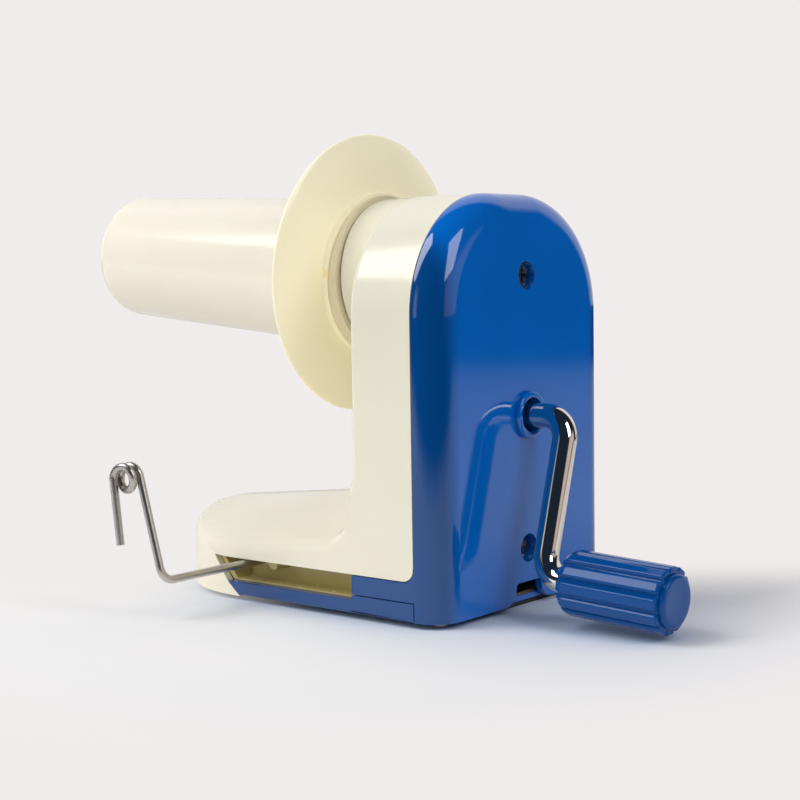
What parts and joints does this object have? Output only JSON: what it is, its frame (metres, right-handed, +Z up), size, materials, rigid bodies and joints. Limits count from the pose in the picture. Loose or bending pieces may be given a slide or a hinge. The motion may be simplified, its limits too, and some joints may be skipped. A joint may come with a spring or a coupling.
{
  "type": "yarn ball winder",
  "caption": "Hand cranked yarn ball winder: gear tower on a tongue foot, skewed bobbin with flange disc, bent crank with fluted knob and a folding wire yarn guide.",
  "frame": {"origin": "middle of the sole pad under the tower, on the table plane", "axes": "+X along the spindle from the crank to the bobbin tip, +Y towards the yarn guide, +Z up"},
  "size_m": [0.2824, 0.1557, 0.1778],
  "materials": {
    "blue_gloss": "gloss",
    "knob_blue": "satin",
    "cream_gloss": "gloss",
    "disc_cream": "gloss",
    "bobbin_cream": "gloss",
    "bush_plastic": "matt",
    "gear_plastic": "matt",
    "sole_rubber": "matt",
    "rod_chrome": "polished",
    "wire_steel": "satin",
    "shaft_steel": "ground",
    "screw_steel": "satin",
    "plate_steel": "satin",
    "bush_brass": "satin"
  },
  "bodies": {
    "frame": {"rear_cover": "blue_gloss", "front_shell": "cream_gloss", "base_tray": "blue_gloss", "stow_pocket": "cream_gloss", "sole_pads": "sole_rubber", "cover_screw": "screw_steel", "base_screws": "screw_steel", "clamp_plate": "plate_steel", "crank_bush": "blue_gloss", "crank_front_bush": "bush_plastic", "shaft_rear_bush": "bush_plastic", "hub_front_bush": "bush_plastic", "guide_bush": "bush_plastic"},
    "crank": {"crank_rod": "rod_chrome", "hub_drive_gear": "gear_plastic", "shaft_drive_gear": "gear_plastic", "crank_ring": "screw_steel", "knob_screw": "screw_steel"},
    "knob": {"knob_grip": "knob_blue", "knob_cap": "knob_blue"},
    "hub": {"hub_sleeve": "bush_plastic", "hub_pinion": "gear_plastic", "skew_hub": "cream_gloss", "skew_bush": "bush_brass"},
    "shaft": {"inner_shaft": "shaft_steel", "shaft_pinion": "bush_brass", "drive_cup": "bush_brass", "shaft_screw": "screw_steel"},
    "bobbin": {"bobbin_pin": "shaft_steel", "drive_cross": "gear_plastic", "flange_disc": "disc_cream", "bobbin": "bobbin_cream", "bobbin_core": "bobbin_cream", "bobbin_cap": "bobbin_cream", "pin_washer": "screw_steel"},
    "guide_slider": {"guide_clip": "screw_steel"},
    "guide": {"yarn_guide": "wire_steel"}
  },
  "joints": [
    {"name": "crank_turn", "type": "hinge", "parent": "frame", "child": "crank", "pos_m": [0, 0, 0.0715], "axis": [1, 0, 0], "continuous": true},
    {"name": "knob_spin", "type": "hinge", "parent": "crank", "child": "knob", "pos_m": [-0.0795, 0.0174, 0.0146], "axis": [0.9988, -0.0143, 0.0467], "continuous": true},
    {"name": "hub_spin", "type": "hinge", "parent": "frame", "child": "hub", "pos_m": [0, 0, 0.1225], "axis": [1, 0, 0], "continuous": true},
    {"name": "shaft_spin", "type": "hinge", "parent": "frame", "child": "shaft", "pos_m": [0, 0, 0.1225], "axis": [1, 0, 0], "continuous": true},
    {"name": "bobbin_creep", "type": "hinge", "parent": "hub", "child": "bobbin", "pos_m": [0.026, 0, 0.1225], "axis": [0.9976, 0, 0.0698], "continuous": true},
    {"name": "guide_slide", "type": "slide", "parent": "frame", "child": "guide_slider", "axis": [0, 1, 0], "range_m": [-0.034, 0]},
    {"name": "guide_fold", "type": "hinge", "parent": "guide_slider", "child": "guide", "pos_m": [0.0647, 0.05, 0.0144], "axis": [0, 1, 0], "range_deg": [-100, 30]}
  ],
  "couplings": [
    {"joint": "hub_spin", "follows": "crank_turn", "ratio": -3.1667},
    {"joint": "shaft_spin", "follows": "crank_turn", "ratio": -2.9474},
    {"joint": "bobbin_creep", "follows": "crank_turn", "ratio": 0.2193}
  ]
}
